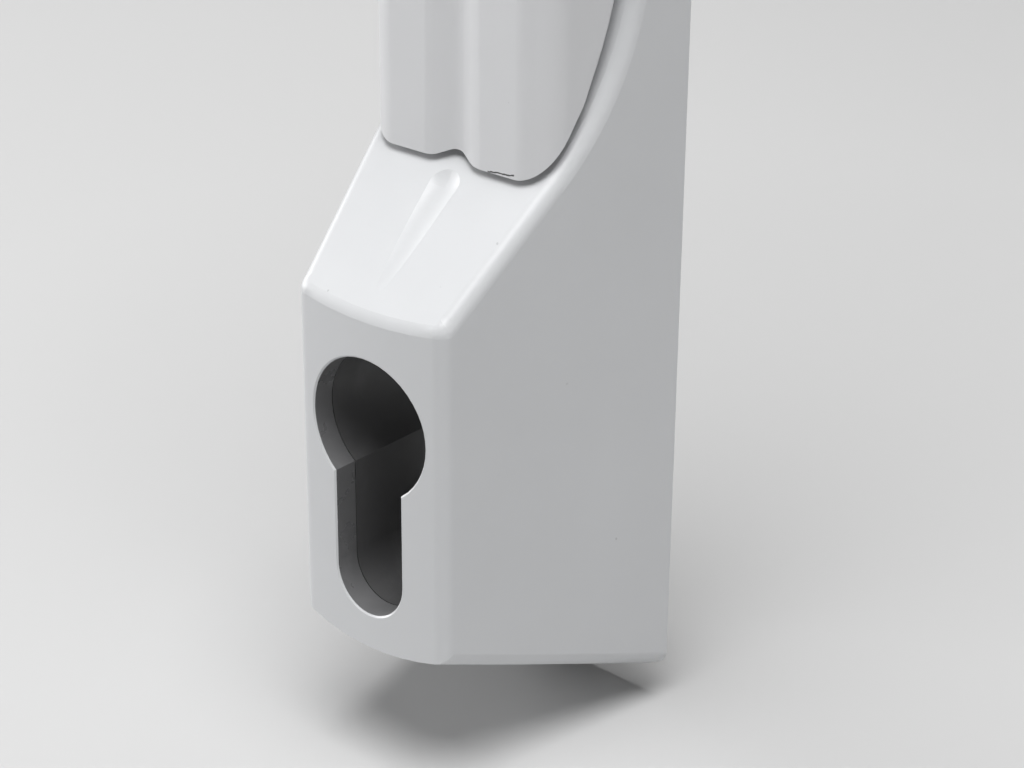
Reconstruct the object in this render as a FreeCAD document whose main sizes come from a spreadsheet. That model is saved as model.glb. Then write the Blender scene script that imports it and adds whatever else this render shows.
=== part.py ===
# Swing handle lock for a cabinet door: a cast housing with a boss for a profile
# cylinder, a lever handle that flips out on a cross pin and then swings, a spindle
# with its latch cam behind the door, and a slide that locks the handle's tip.
# Frame: X across the door, +Y into the door, +Z up. Y = 0 is the door's front face.
# The origin lies halfway between the two fixing holes.
import FreeCAD, Part
import Sketcher
import math
import os
import re

Vector = FreeCAD.Vector
doc = FreeCAD.newDocument("SwingHandle")

# Driving dimensions, in millimetres and degrees
SIZES = {
    "key_drop": 90, "spindle_rise": 88, "fixing_pitch": 96, "fixing_radius": 2.1,
    "fixing_depth": 5.5, "fixing_boss_radius": 5,
    "base_half_width": 17.5, "boss_half_width": 11.1, "boss_depth": 36, "base_thick": 7.5,
    "base_corner_drop": 40, "boss_corner_drop": 26.9, "bottom_radius": 34,
    "shoulder_height": 14.2, "shoulder_angle": 41, "shoulder_radius": 34, "edge_round": 1.8,
    "front_round": 2, "low_corner_round": 2,
    "crown_radius": 73,
    "shell_wall": 2.5, "rim_wall": 3, "boss_side_wall": 1.5, "boss_front_wall": 3.5,
    "rib_count": 4, "rib_thick": 2, "rib_pitch": 22, "rib_start": -22,
    "keyhole_radius": 8.7, "keyhole_slot_half_width": 5.15, "keyhole_height": 33,
    "keyhole_bevel": 0.2, "trough_radius": 5, "trough_depth": 0.45, "trough_tilt": 1.7,
    "trough_start": 1.5,
    "gasket_inset": 1, "gasket_width": 1.2, "gasket_thick": 1,
    "seat_gap": 0.15, "carrier_flange": 3, "flange_land": 1, "carrier_back": 8, "carrier_slack": 0.3,
    "screw_radius": 1.5, "screw_head_radius": 2.8, "screw_length": 7, "screw_sink": 1.8,
    "screw_head_height": 1.6, "screw_tip_room": 1, "screw_socket_radius": 1.4,
    "screw_socket_depth": 1, "post_radius": 2.8,
    "top_screw_side": 10.2, "top_screw_rise": 13.5, "low_screw_drop": 29.8,
    "slide_thick": 3.5, "slide_half_width": 7, "slide_travel": 7, "nose_half_width": 4,
    "nose_front": 16.2, "nose_thick": 3, "slide_foot_rise": 12.5, "slide_arm_rise": 20,
    "slide_arm_height": 4.5, "slide_head_rise": 29, "cam_notch_radius": 15.4,
    "nose_sink": 0.5,
    "cover_thick": 1.5, "cover_half_width": 13, "cover_screw_rise": 27.5,
    "cover_screw_side": 10.4, "cover_gap": 0.2,
    "handle_front": 20.9, "handle_gap": 0.7, "handle_half_width": 13.4,
    "handle_draft": 4, "handle_edge_round": 4.5, "handle_bend_radius": 44,
    "tip_corner_round": 4.5, "handle_wall": 2.6, "handle_skin": 3.4,
    "groove_half_width": 3.2, "groove_slope": 22.8, "groove_round": 3,
    "groove_end_below": 22, "groove_runout_radius": 40, "groove_runout_angle": 20,
    "pin_height": 12.6, "pin_radius": 2, "flip_angle": 30, "flip_spare": 1, "swing_angle": 90,
    "tongue_half_width": 4.8, "tongue_radius": 4.3, "tongue_gap": 0.2,
    "journal_radius": 6, "flange_radius": 10, "flange_thick": 3, "flange_gap": 0.3,
    "washer_thick": 0.8, "running_gap": 0.05, "end_gap": 0.1, "flange_sink": 0.3, "bush_wall": 1.5,
    "rear_boss_radius": 12, "rear_boss_length": 9, "square_half_width": 4.5,
    "clip_thick": 1, "clip_radius": 7.2, "clip_seat": 5.5, "seal_width": 1.4,
    "seal_place": 1.3, "stop_thick": 2, "stop_radius": 11.4, "stop_pin_radius": 1.3,
    "stop_pin_place": 9.7, "stop_pin_depth": 4, "cam_thick": 4, "cam_half_width": 11,
    "cam_tip_half_width": 8, "cam_reach": 48, "cam_bevel": 2,
    "cam_screw_radius": 3, "cam_screw_depth": 12, "cam_screw_head": 4, "cam_screw_flat": 5,
    "spring_washer_thick": 1.6, "spring_washer_radius": 5.8, "spring_washer_slit": 1.2,
}
sheet = doc.addObject("Spreadsheet::Sheet", "Sizes")
for row, (alias, size) in enumerate(SIZES.items(), 1):
    sheet.set(f"A{row}", alias.replace("_", " "))
    sheet.set(f"B{row}", str(size))
    sheet.setAlias(f"B{row}", alias)
doc.recompute()


# Expressions over the sheet
def bound(expression):
    return re.sub(r"\b([a-z]+(?:_[a-z]+)+)\b", r"Sizes.\1", str(expression))


def value(expression):
    return float(sheet.evalExpression(str(expression)))


KEY_Z = "(-key_drop)"
# Cuts that go right across run this far, well past both sides
ACROSS = "(4 * base_half_width)"
TILT = "(shoulder_angle * 1deg)"
DRAFT = "((base_half_width - boss_half_width) / boss_depth)"


def corner_sag(half_width):
    """How far the round underside is lower at a narrower half width than at the base."""
    return (f"(sqrt(bottom_radius^2 - ({half_width})^2)"
            " - sqrt(bottom_radius^2 - base_half_width^2))")


BOTTOM_RISE = f"(base_corner_drop - boss_corner_drop + {corner_sag('boss_half_width')})"
BOTTOM_SLANT = f"({BOTTOM_RISE} / boss_depth)"
# The front surface of the housing in side view: slope, then an arc into the base
BEND_DEPTH = f"(base_thick + shoulder_radius * (1 - sin({TILT})))"
BEND_Z = f"({KEY_Z} + shoulder_height + tan({TILT}) * (boss_depth - {BEND_DEPTH}))"
ARC_Z = f"({BEND_Z} + shoulder_radius * cos({TILT}))"
HANDLE_BACK = "(base_thick + handle_gap)"
FLANGE_FRONT = "(base_thick - flange_sink)"
FLANGE_BACK = f"({FLANGE_FRONT} - flange_thick)"
SEAT_DEPTH = f"({FLANGE_BACK} - running_gap - washer_thick)"
CLIP_FRONT = "(rear_boss_length + end_gap)"
STOP_FRONT = f"({CLIP_FRONT} + clip_thick + end_gap)"
CAM_FRONT = f"({STOP_FRONT} + stop_thick)"
CAM_BACK = f"({CAM_FRONT} + cam_thick)"
SLIDE_BACK = "(carrier_back - carrier_slack - slide_thick)"
COVER_FRONT = f"({SLIDE_BACK} - cover_gap)"


def on_slope(depth, lift="0"):
    """Height of the housing's slope at a depth in front of the door, lifted off it."""
    return f"({KEY_Z} + shoulder_height + tan({TILT}) * (boss_depth - ({depth})) + ({lift}) / cos({TILT}))"


def wall_x(depth, inset="0"):
    """Half the housing's width at a depth in front of the door."""
    return f"(base_half_width - {DRAFT} * ({depth}) - ({inset}))"


def low_z(depth, inset="0"):
    """Height of the housing's lower corners at a depth in front of the door."""
    return (f"({KEY_Z} - base_corner_drop + {BOTTOM_SLANT} * ({depth})"
            f" - {corner_sag(wall_x(depth))} + ({inset}))")


# Bodies, sketches and features
def new_body(label):
    body = doc.addObject("PartDesign::Body", label)
    body.Label = label
    return body


def origin_plane(body, role):
    return [plane for plane in body.Origin.OriginFeatures if plane.Role == role][0]


def new_sketch(body, plane, distance="0"):
    sketch = body.newObject("Sketcher::SketchObject", body.Label + "_sketch")
    sketch.AttachmentSupport = (origin_plane(body, plane), "")
    sketch.MapMode = "FlatFace"
    sketch.setExpression("AttachmentOffset.Base.z", bound(distance))
    return sketch


def pin_down(sketch, geometry, point, x, y):
    for kind, expression in (("DistanceX", x), ("DistanceY", y)):
        place = sketch.addConstraint(
            Sketcher.Constraint(kind, -1, 1, geometry, point, value(expression)))
        sketch.setExpression(f"Constraints[{place}]", bound(expression))


def outline(sketch, corners):
    """A closed outline. A corner is (x, y), or (x, y, radius) where an arc runs on to the
    next corner. A negative radius bulges to the right of the way there. A fourth item
    makes the arc the half circle between the two corners, or the long way round."""
    ends = []
    spots = [Vector(value(c[0]), value(c[1]), 0) for c in corners]
    for number, corner in enumerate(corners):
        after = (number + 1) % len(corners)
        here, there = spots[number], spots[after]
        if len(corner) == 2:
            ends.append((sketch.addGeometry(Part.LineSegment(here, there), False), 1, 2))
            continue
        radius = value(corner[2])
        shape = corner[3] if len(corner) > 3 else "short"
        chord = there - here
        side = Vector(-chord.y, chord.x, 0).normalize()
        rise = math.sqrt(max(radius ** 2 - chord.Length ** 2 / 4, 0))
        turn = -1 if (radius < 0) == (shape == "long") else 1
        centre = (here + there) * 0.5 + side * (rise * turn)
        angles = [math.atan2(p.y - centre.y, p.x - centre.x) for p in (here, there)]
        clockwise = radius > 0
        if clockwise:
            angles.reverse()
        circle = Part.Circle(centre, Vector(0, 0, 1), abs(radius))
        arc = sketch.addGeometry(Part.ArcOfCircle(circle, angles[0], angles[1]), False)
        ends.append((arc, 2, 1) if clockwise else (arc, 1, 2))
        if shape == "half":
            upright = abs(side.y) > abs(side.x)
            mean = f"(({corner[upright]}) + ({corners[after][upright]})) / 2"
            place = sketch.addConstraint(Sketcher.Constraint(
                "DistanceY" if upright else "DistanceX", -1, 1, arc, 3, value(mean)))
            sketch.setExpression(f"Constraints[{place}]", bound(mean))
        else:
            place = sketch.addConstraint(Sketcher.Constraint("Radius", arc, abs(radius)))
            sketch.setExpression(f"Constraints[{place}]", bound(f"abs({corner[2]})"))
    for number, (geometry, start, end) in enumerate(ends):
        after = ends[(number + 1) % len(ends)]
        sketch.addConstraint(Sketcher.Constraint("Coincident", geometry, end, after[0], after[1]))
    for (geometry, start, end), corner in zip(ends, corners):
        pin_down(sketch, geometry, start, corner[0], corner[1])


def ring(sketch, x, y, radius):
    circle = Part.Circle(Vector(value(x), value(y), 0), Vector(0, 0, 1), value(radius))
    geometry = sketch.addGeometry(circle, False)
    pin_down(sketch, geometry, 3, x, y)
    place = sketch.addConstraint(Sketcher.Constraint("Radius", geometry, value(radius)))
    sketch.setExpression(f"Constraints[{place}]", bound(radius))


def box_outline(sketch, x, low, high):
    outline(sketch, [(f"-({x})", low), (x, low), (x, high), (f"-({x})", high)])


def feature(body, kind, sketch, length=None, backwards=False, both_ways=False):
    made = body.newObject("PartDesign::" + kind, body.Label + "_" + kind.lower())
    made.Profile = sketch
    if length is not None:
        made.setExpression("Length", bound(length))
    made.Reversed = backwards
    if both_ways:
        made.SideType = "Symmetric"
    doc.recompute()
    return made


def wedge(body, kind, back, front):
    """A tapered block or hollow between two rectangles, each given as its depth in front
    of the door, its half width and the heights of its lower and upper sides."""
    made = body.newObject(f"PartDesign::{kind}Wedge", body.Label + "_wedge")
    sides = {"Ymax": f"-({back[0]})", "X2min": f"-({back[1]})", "X2max": back[1],
             "Z2min": back[2], "Z2max": back[3],
             "Ymin": f"-({front[0]})", "Xmin": f"-({front[1]})", "Xmax": front[1],
             "Zmin": front[2], "Zmax": front[3]}
    for side, place in sides.items():
        made.setExpression(side, bound(place))
    doc.recompute()
    return made


def keyhole(sketch):
    """The profile cylinder's opening: a circle, and a slot below it with a round end."""
    half = "keyhole_slot_half_width"
    neck = f"({KEY_Z} - sqrt(keyhole_radius^2 - {half}^2))"
    end = f"({KEY_Z} + keyhole_radius - keyhole_height + {half})"
    outline(sketch, [(half, neck, "-keyhole_radius", "long"), (f"-{half}", neck),
                     (f"-{half}", end, f"-{half}", "half"), (half, end)])


def edges_of(shape, wanted):
    return [f"Edge{n}" for n, edge in enumerate(shape.Edges, 1) if wanted(edge)]


def dress(body, kind, size, wanted):
    base = body.Tip
    made = body.newObject("PartDesign::" + kind, body.Label + "_" + kind.lower())
    made.Base = (base, edges_of(base.Shape, wanted))
    made.setExpression("Radius" if kind == "Fillet" else "Size", bound(size))
    doc.recompute()
    return made


def disc(body, kind, x, z, radius, from_depth, length, backwards=False):
    """A round pad or hole along Y, from a depth in front of the door. A pad grows to the
    front and a hole to the back, unless backwards."""
    sketch = new_sketch(body, "XZ_Plane", from_depth)
    ring(sketch, x, z, radius)
    return feature(body, kind, sketch, length, backwards)


def close_to(first, second, slack=1e-4):
    return abs(first - second) < slack


def on_bend(depth):
    """Height of the housing's concave bend at a depth in front of the door."""
    return f"({ARC_Z} - sqrt(shoulder_radius^2 - (base_thick + shoulder_radius - ({depth}))^2))"


# Housing: a drafted block, cut back to its side profile, with rounded edges
def housing_outline(sketch, depth, inset):
    half = wall_x(depth, inset)
    low = low_z(depth, inset)
    outline(sketch, [(f"-{half}", low, "-bottom_radius"), (half, low),
                     (half, "spindle_rise", f"-{half}", "half"), (f"-{half}", "spindle_rise")])


def is_side(face):
    """A face that runs from back to front, other than a level one."""
    return not (close_to(face.BoundBox.YLength, 0) or close_to(face.BoundBox.ZLength, 0))


def drafted(body, angle, wanted):
    """Leans side faces of the body's latest solid inwards by an angle, from Y = 0 on."""
    base = body.Tip
    made = body.newObject("PartDesign::Draft", body.Label + "_draft")
    made.Base = (base, [f"Face{n}" for n, face in enumerate(base.Shape.Faces, 1) if wanted(face)])
    made.NeutralPlane = (origin_plane(body, "XZ_Plane"), [""])
    made.Reversed = False
    made.setExpression("Angle", bound(angle))
    doc.recompute()
    # The faces lean on the second pass, once the angle is known
    made.touch()
    doc.recompute()
    return made


housing = new_body("housing")
block = new_sketch(housing, "XZ_Plane")
housing_outline(block, "0", "0")
feature(housing, "Pad", block, "boss_depth")
drafted(housing, f"atan({DRAFT})", lambda face: is_side(face) and face.BoundBox.ZMax > value(KEY_Z))
slant = new_sketch(housing, "XZ_Plane")
BELOW = f"({low_z('0')} - base_corner_drop)"
outline(slant, [("-base_half_width", low_z("0"), "-bottom_radius"), ("base_half_width", low_z("0")),
                (f"{ACROSS} / 2", low_z("0")), (f"{ACROSS} / 2", BELOW),
                (f"-{ACROSS} / 2", BELOW), (f"-{ACROSS} / 2", low_z("0"))])
underside = feature(housing, "Pocket", slant, f"boss_depth * sqrt(1 + {BOTTOM_SLANT}^2)")
underside.UseCustomVector = True
underside.Direction = (0, -1, 0)
underside.setExpression("Direction.z", bound(BOTTOM_SLANT))
doc.recompute()


def is_low_corner_edge(edge):
    """A lower corner of the block, from its back to its front."""
    box = edge.BoundBox
    return (box.ZMax < value(f"{KEY_Z} - keyhole_height / 2") and not close_to(box.YLength, 0)
            and not close_to(box.XLength, 0))


dress(housing, "Fillet", "low_corner_round", is_low_corner_edge)

# Housing: its front in plan view is crowned and turns into each flank by a round corner
LEAN = f"sqrt(1 + {DRAFT}^2)"
CROWN_Y = "(crown_radius - boss_depth)"
CORNER_REACH = "(crown_radius - front_round)"
CORNER_OUT = f"(base_half_width - front_round * {LEAN})"
CORNER_MEAN = f"({CROWN_Y} - {CORNER_OUT} * {DRAFT})"
CORNER_REST = f"({CORNER_OUT}^2 + {CROWN_Y}^2 - {CORNER_REACH}^2)"
CORNER_Y = f"(({CORNER_MEAN} - sqrt({CORNER_MEAN}^2 - {LEAN}^2 * {CORNER_REST})) / {LEAN}^2)"
CORNER_X = f"({CORNER_OUT} + {DRAFT} * {CORNER_Y})"
CROWN_END = (f"{CORNER_X} * crown_radius / {CORNER_REACH}",
             f"{CROWN_Y} + ({CORNER_Y} - {CROWN_Y}) * crown_radius / {CORNER_REACH}")
FLANK_START = (f"{CORNER_X} + front_round / {LEAN}", f"{CORNER_Y} - front_round * {DRAFT} / {LEAN}")
FAR_Y = "(-boss_depth - shell_wall)"
crown = new_sketch(housing, "XY_Plane", KEY_Z)
outline(crown, [
    (f"-({CROWN_END[0]})", CROWN_END[1], "-crown_radius"), CROWN_END + ("-front_round",), FLANK_START,
    ("base_half_width", FLANK_START[1]), ("base_half_width", FAR_Y), ("-base_half_width", FAR_Y),
    ("-base_half_width", FLANK_START[1]), (f"-({FLANK_START[0]})", FLANK_START[1], "-front_round")])
feature(housing, "Pocket", crown, "2 * (base_corner_drop + shoulder_radius)", both_ways=True)
profile = new_sketch(housing, "YZ_Plane")
CLEAR_DEPTH = "(boss_depth + shell_wall)"
CLEAR_TOP = f"(spindle_rise + {ACROSS} / 2)"
outline(profile, [(f"-{CLEAR_DEPTH}", on_slope(CLEAR_DEPTH)),
                  (f"-{BEND_DEPTH}", BEND_Z, "-shoulder_radius"), ("-base_thick", ARC_Z),
                  ("-base_thick", CLEAR_TOP), (f"-{CLEAR_DEPTH}", CLEAR_TOP)])
feature(housing, "Pocket", profile, ACROSS, both_ways=True)


def is_upper_edge(edge):
    """A crisp edge of the slope, the bend or the rim."""
    box = edge.BoundBox
    below_slope = box.ZMin < value(KEY_Z)
    on_back = close_to(box.YMin, 0)
    bend_starts = [-value(BEND_DEPTH), -value("base_thick")]
    beside_bend = (close_to(box.YLength, 0) and close_to(box.ZLength, 0)
                   and any(close_to(box.YMin, start) for start in bend_starts))
    beside_hub = close_to(box.YMax, 0) and close_to(box.ZMin, value("spindle_rise"))
    return not (below_slope or on_back or beside_bend or beside_hub)


dress(housing, "Fillet", "edge_round", is_upper_edge)

# Housing: the hollow behind, its bosses, posts and ribs
HOLLOW_DEPTH = "(base_thick - shell_wall)"
hollow = new_sketch(housing, "XZ_Plane")
half = wall_x("0", "rim_wall")
low = low_z("base_thick", "rim_wall")
outline(hollow, [(f"-{half}", low), (half, low),
                 (half, "spindle_rise", f"-{half}", "half"), (f"-{half}", "spindle_rise")])
feature(housing, "Pocket", hollow, HOLLOW_DEPTH, backwards=True)


CAVITY_FRONT = "(boss_depth - boss_front_wall)"
cavity_ends = [(depth, wall_x(depth, "boss_side_wall"), low_z(depth, "shell_wall"),
                on_slope(depth, "-shell_wall")) for depth in (HOLLOW_DEPTH, CAVITY_FRONT)]
wedge(housing, "Subtractive", *cavity_ends)

disc(housing, "Pad", "0", "spindle_rise", "rear_boss_radius", "-rear_boss_length",
     f"rear_boss_length + {HOLLOW_DEPTH} + shell_wall / 2")
FIXINGS = ["-fixing_pitch / 2", "fixing_pitch / 2"]
for fixing_z in FIXINGS:
    disc(housing, "Pad", "0", fixing_z, "fixing_boss_radius", "0", "base_thick - shell_wall / 2")

CARRIER_FRONT = "(carrier_back + carrier_flange)"
CARRIER_SCREWS = [("-top_screw_side", f"{KEY_Z} + top_screw_rise"),
                  ("top_screw_side", f"{KEY_Z} + top_screw_rise"), ("0", f"{KEY_Z} - low_screw_drop")]
COVER_SCREWS = [("-cover_screw_side", f"{KEY_Z} + cover_screw_rise"),
                ("cover_screw_side", f"{KEY_Z} + cover_screw_rise")]
# A post runs on to the flank, the sloping bottom or the ceiling that it grows from
FLANK_REACH = f"((base_half_width - top_screw_side - post_radius - boss_side_wall / 3) / {DRAFT})"
FLOOR_REACH = f"((base_corner_drop - low_screw_drop - shell_wall) / {BOTTOM_SLANT})"
CEILING_REACH = (f"(boss_depth - (cover_screw_rise - shoulder_height + shell_wall / cos({TILT}))"
                 f" / tan({TILT}))")
for (x, z), reach in zip(CARRIER_SCREWS, (FLANK_REACH, FLANK_REACH, FLOOR_REACH)):
    disc(housing, "Pad", x, z, "post_radius", CARRIER_FRONT, f"{reach} - {CARRIER_FRONT}")
for x, z in COVER_SCREWS:
    disc(housing, "Pad", x, z, "post_radius", COVER_FRONT, f"{CEILING_REACH} - {COVER_FRONT}")

for number in range(SIZES["rib_count"]):
    rib = new_sketch(housing, "XZ_Plane")
    rib_low = f"rib_start + {number} * rib_pitch"
    box_outline(rib, wall_x("0", "rim_wall / 2"), rib_low, f"{rib_low} + rib_thick")
    feature(housing, "Pad", rib, "base_thick - shell_wall / 2")

# Housing: bores, screw holes, the slots of the slide and the cylinder's opening
disc(housing, "Pocket", "0", "spindle_rise", "flange_radius + flange_gap", "base_thick",
     f"base_thick - {SEAT_DEPTH}")
BUSH_RADIUS = "(journal_radius + running_gap + bush_wall)"
disc(housing, "Pocket", "0", "spindle_rise", BUSH_RADIUS, "base_thick", "base_thick + rear_boss_length")
disc(housing, "Pocket", "0", "spindle_rise + stop_pin_place", "stop_pin_radius", "-rear_boss_length",
     "stop_pin_depth", backwards=True)
for fixing_z in FIXINGS:
    disc(housing, "Pocket", "0", fixing_z, "fixing_radius", "0", "fixing_depth", backwards=True)
for x, z in CARRIER_SCREWS:
    disc(housing, "Pocket", x, z, "screw_radius", CARRIER_FRONT,
         "screw_length - carrier_flange + screw_tip_room", backwards=True)
for x, z in COVER_SCREWS:
    disc(housing, "Pocket", x, z, "screw_radius", COVER_FRONT, "screw_length", backwards=True)

SLIDE_FRONT = "(carrier_back - carrier_slack)"
NOSE_BACK = "(nose_front - nose_thick)"
NOSE_TOP = f"({on_bend(NOSE_BACK)} - nose_sink)"


def slide_slot(half, low, high, front, back):
    """Room for a stretch of the slide, with a gap all round, cut from front to back."""
    sketch = new_sketch(housing, "XZ_Plane", f"{front} + seat_gap")
    box_outline(sketch, f"({half} + seat_gap)", f"{low} - seat_gap", high)
    feature(housing, "Pocket", sketch, f"{front} + seat_gap - ({back})")


slide_slot("slide_half_width", f"{KEY_Z} + slide_foot_rise",
           f"{KEY_Z} + slide_head_rise + slide_travel + 2 * seat_gap", SLIDE_FRONT, HOLLOW_DEPTH)
slide_slot("nose_half_width", f"{KEY_Z} + slide_arm_rise", f"{ARC_Z}", "nose_front",
           f"{NOSE_BACK} - seat_gap")
slide_slot("nose_half_width", f"{KEY_Z} + slide_arm_rise",
           f"{KEY_Z} + slide_arm_rise + slide_arm_height + slide_travel + 2 * seat_gap", "nose_front",
           HOLLOW_DEPTH)

opening = new_sketch(housing, "XZ_Plane", "boss_depth")
keyhole(opening)
feature(housing, "Pocket", opening, "boss_front_wall + seat_gap")

# Housing: the shallow trough that carries the handle's groove over the shoulder
TROUGH_TILT = f"({TILT} - trough_tilt * 1deg)"
trough = new_sketch(housing, "YZ_Plane")
TROUGH_END = "(handle_front + trough_start)"
END_Y = f"(-{TROUGH_END} - sin({TILT}) * (trough_radius - trough_depth))"
END_Z = f"({on_slope(TROUGH_END)} + cos({TILT}) * (trough_radius - trough_depth))"
TROUGH_LENGTH = f"((boss_depth - {TROUGH_END}) / cos({TILT}) + shell_wall)"
START_Y = f"({END_Y} - cos({TROUGH_TILT}) * {TROUGH_LENGTH})"
START_Z = f"({END_Z} - sin({TROUGH_TILT}) * {TROUGH_LENGTH})"
outline(trough, [
    (START_Y, START_Z),
    (f"{START_Y} + sin({TROUGH_TILT}) * trough_radius", f"{START_Z} - cos({TROUGH_TILT}) * trough_radius"),
    (f"{END_Y} + sin({TROUGH_TILT}) * trough_radius", f"{END_Z} - cos({TROUGH_TILT}) * trough_radius",
     "-trough_radius"),
    (f"{END_Y} + cos({TROUGH_TILT}) * trough_radius", f"{END_Z} + sin({TROUGH_TILT}) * trough_radius")])
axis = trough.addGeometry(Part.LineSegment(Vector(value(START_Y), value(START_Z), 0),
                                           Vector(value(END_Y), value(END_Z), 0)), True)
trough.addConstraint(Sketcher.Constraint("Coincident", axis, 1, 0, 1))
pin_down(trough, axis, 2, END_Y, END_Z)
scoop = housing.newObject("PartDesign::Groove", "housing_trough")
scoop.Profile = trough
scoop.ReferenceAxis = (trough, ["Axis0"])
scoop.Angle = 360
doc.recompute()

# Housing: the gasket's groove in its back rim
GASKET_INNER = "(gasket_inset + gasket_width)"
sketch = new_sketch(housing, "XZ_Plane")
housing_outline(sketch, "0", "gasket_inset")
housing_outline(sketch, "0", GASKET_INNER)
feature(housing, "Pocket", sketch, "gasket_thick", backwards=True)


def is_opening_edge(edge):
    """An edge round the keyhole in the boss's front face."""
    box = edge.BoundBox
    front = box.YMax < -value("boss_depth - boss_front_wall / 2")
    return front and max(box.XMax, -box.XMin) < value("keyhole_radius + keyhole_bevel")


dress(housing, "Chamfer", "keyhole_bevel", is_opening_edge)

# Gasket between the housing and the door
gasket = new_body("gasket")
sketch = new_sketch(gasket, "XZ_Plane")
housing_outline(sketch, "0", "gasket_inset")
housing_outline(sketch, "0", GASKET_INNER)
feature(gasket, "Pad", sketch, "gasket_thick")

# Carrier of the profile cylinder, with a flange that is screwed to the posts
carrier = new_body("cylinder_carrier")
sleeve_ends = [(depth, wall_x(depth, "boss_side_wall + seat_gap"),
                low_z(CAVITY_FRONT, "shell_wall + seat_gap"), f"{KEY_Z} + keyhole_radius + boss_side_wall")
               for depth in (CARRIER_FRONT, f"({CAVITY_FRONT} - seat_gap)")]
wedge(carrier, "Additive", *sleeve_ends)
flange = new_sketch(carrier, "XZ_Plane", "carrier_back")
box_outline(flange, wall_x(CARRIER_FRONT, "boss_side_wall + seat_gap"),
            low_z(CARRIER_FRONT, "shell_wall + seat_gap"),
            f"{KEY_Z} + top_screw_rise + screw_head_radius + flange_land")
feature(carrier, "Pad", flange, "carrier_flange")
sketch = new_sketch(carrier, "XZ_Plane", "boss_depth")
keyhole(sketch)
feature(carrier, "Pocket", sketch, "boss_depth")
for x, z in CARRIER_SCREWS:
    disc(carrier, "Pocket", x, z, "screw_radius", CARRIER_FRONT, "carrier_flange")
    disc(carrier, "Pocket", x, z, "screw_head_radius + seat_gap", "(carrier_back + screw_sink)",
         "screw_sink")

# Lock slide: a plate that the cylinder's cam lifts, and the nose that enters the handle
lock_slide = new_body("lock_slide")
arm = new_sketch(lock_slide, "YZ_Plane")
outline(arm, [(f"-{SLIDE_FRONT}", f"{KEY_Z} + slide_arm_rise"),
              (f"-{SLIDE_FRONT}", f"{KEY_Z} + slide_arm_rise + slide_arm_height"),
              (f"-{NOSE_BACK}", f"{KEY_Z} + slide_arm_rise + slide_arm_height"),
              (f"-{NOSE_BACK}", NOSE_TOP), ("-nose_front", f"{on_bend('nose_front')} - nose_sink"),
              ("-nose_front", f"{KEY_Z} + slide_arm_rise")])
feature(lock_slide, "Pad", arm, "2 * nose_half_width", both_ways=True)
plate = new_sketch(lock_slide, "XZ_Plane", SLIDE_BACK)
box_outline(plate, "slide_half_width", f"{KEY_Z} + slide_foot_rise", f"{KEY_Z} + slide_head_rise")
feature(lock_slide, "Pad", plate, "slide_thick")
disc(lock_slide, "Pocket", "0", KEY_Z, "cam_notch_radius", SLIDE_FRONT, "slide_thick")

# Cover that keeps the slide in its guide
cover = new_body("slide_cover")
sketch = new_sketch(cover, "XZ_Plane", f"({COVER_FRONT} - cover_thick)")
box_outline(sketch, "cover_half_width", f"{KEY_Z} + slide_foot_rise - cover_thick",
            f"{KEY_Z} + cover_screw_rise + screw_head_radius + cover_thick")
feature(cover, "Pad", sketch, "cover_thick")
for x, z in COVER_SCREWS + [("0", KEY_Z)]:
    radius = "screw_radius" if z != KEY_Z else "cam_notch_radius"
    disc(cover, "Pocket", x, z, radius, COVER_FRONT, "cover_thick")

# Handle lever: outline in front view, cut to the housing's profile with a gap
handle = new_body("handle_lever")
blank = new_sketch(handle, "XZ_Plane")
TIP_Z = f"({KEY_Z} + shoulder_height)"
SPREAD = "(handle_front * tan(handle_draft * 1deg))"
SIDE_X = f"(handle_half_width + {SPREAD})"
outline(blank, [(f"-{SIDE_X}", TIP_Z), (SIDE_X, TIP_Z), (SIDE_X, "spindle_rise", f"-{SIDE_X}", "half"),
                (f"-{SIDE_X}", "spindle_rise")])
feature(handle, "Pad", blank, "handle_front")
drafted(handle, "handle_draft", is_side)


def is_handle_front_edge(edge):
    """An edge of the front face, other than the one across the tip."""
    box = edge.BoundBox
    return close_to(box.YMax, -value("handle_front")) and not close_to(box.ZLength, 0)


dress(handle, "Fillet", "handle_edge_round", is_handle_front_edge)

# Handle lever: its back follows the housing with a gap that is wider in the bend
underside = new_sketch(handle, "YZ_Plane")
FAR_DEPTH = "(2 * handle_front)"
HUG_DEPTH = f"({HANDLE_BACK} + handle_bend_radius * (1 - sin({TILT})))"
HUG_Z = on_slope(HUG_DEPTH, "handle_gap")
HUG_TOP = f"({HUG_Z} + handle_bend_radius * cos({TILT}))"
outline(underside, [
    (f"-{FAR_DEPTH}", on_slope(FAR_DEPTH, "handle_gap")), (f"-{HUG_DEPTH}", HUG_Z, "-handle_bend_radius"),
    (f"-{HANDLE_BACK}", HUG_TOP), (f"-{HANDLE_BACK}", CLEAR_TOP), ("base_thick", CLEAR_TOP),
    ("base_thick", f"{TIP_Z} - boss_depth"), (f"-{FAR_DEPTH}", f"{TIP_Z} - boss_depth")])
feature(handle, "Pocket", underside, ACROSS, both_ways=True)

# Handle lever: the tip's two round corners
corners = new_sketch(handle, "XZ_Plane", "handle_front")
EDGE_Z = on_slope("handle_front", "handle_gap")
ROUND_X = "(handle_half_width + handle_edge_round * tan(handle_draft * 1deg))"
for side, bulge in (("", "-"), ("-", "")):
    outline(corners, [(f"{side}({ROUND_X} - tip_corner_round)", EDGE_Z, f"{bulge}tip_corner_round"),
                      (f"{side}{ROUND_X}", f"{EDGE_Z} + tip_corner_round"),
                      (f"{side}2 * {ROUND_X}", f"{EDGE_Z} + tip_corner_round"),
                      (f"{side}2 * {ROUND_X}", TIP_Z), (f"{side}({ROUND_X} - tip_corner_round)", TIP_Z)])
feature(handle, "Pocket", corners, "handle_front")

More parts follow.
